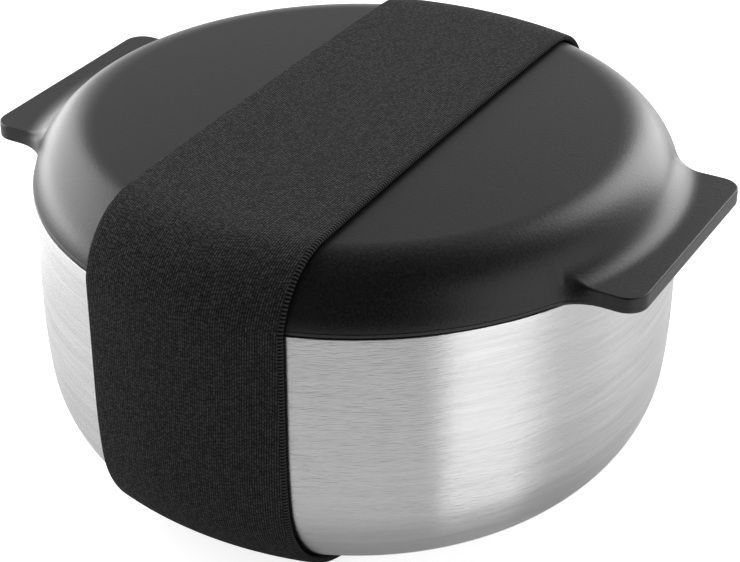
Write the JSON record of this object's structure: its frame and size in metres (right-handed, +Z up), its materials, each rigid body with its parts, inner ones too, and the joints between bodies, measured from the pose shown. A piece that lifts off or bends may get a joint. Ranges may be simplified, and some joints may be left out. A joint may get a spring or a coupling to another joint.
{
  "type": "insulated bowl with lid",
  "caption": "Round double-walled steel food bowl with a moulded lid that has a round shoulder and side grips, held shut by a wide elastic band.",
  "frame": {"origin": "middle of the band's underside, on the surface that the bowl stands on", "axes": "+Z up along the bowl's axis, +X through the grips, +Y along the band's run"},
  "size_m": [0.169, 0.1558, 0.0905],
  "materials": {
    "brushed_shell": "brushed round the bowl",
    "inner_steel": "satin",
    "base_steel": "satin",
    "seal_bead": "melted bead",
    "getter": "pressed powder",
    "black_cover": "fine satin moulded texture",
    "black_liner": "smooth moulded",
    "white_foam": "closed-cell foam",
    "silicone": "matt silicone",
    "black_elastic": "woven elastic",
    "black_thread": "polyester thread"
  },
  "bodies": {
    "bowl": {"outer_shell": "brushed_shell", "inner_bowl": "inner_steel", "base_cap": "base_steel", "port_bead": "seal_bead", "getter_clip": "inner_steel", "getter_pill": "getter"},
    "lid": {"lid_cover": "black_cover", "lid_liner": "black_liner", "lid_foam": "white_foam", "lid_seal": "silicone"},
    "band": {"band_lower": "black_elastic", "seam_stitches": "black_thread"},
    "band_top": {"band_upper": "black_elastic"}
  },
  "joints": [
    {"name": "lid_lift", "type": "slide", "parent": "bowl", "child": "lid", "axis": [0, 0, 1], "range_m": [0, 0.06]},
    {"name": "band_pull", "type": "slide", "parent": "bowl", "child": "band", "axis": [1, 0, 0], "range_m": [0, 0.12]},
    {"name": "band_stretch", "type": "slide", "parent": "band", "child": "band_top", "axis": [0, 0, 1], "range_m": [0, 0.06]}
  ],
  "couplings": [
    {"joint": "band_stretch", "follows": "lid_lift", "ratio": 1}
  ]
}
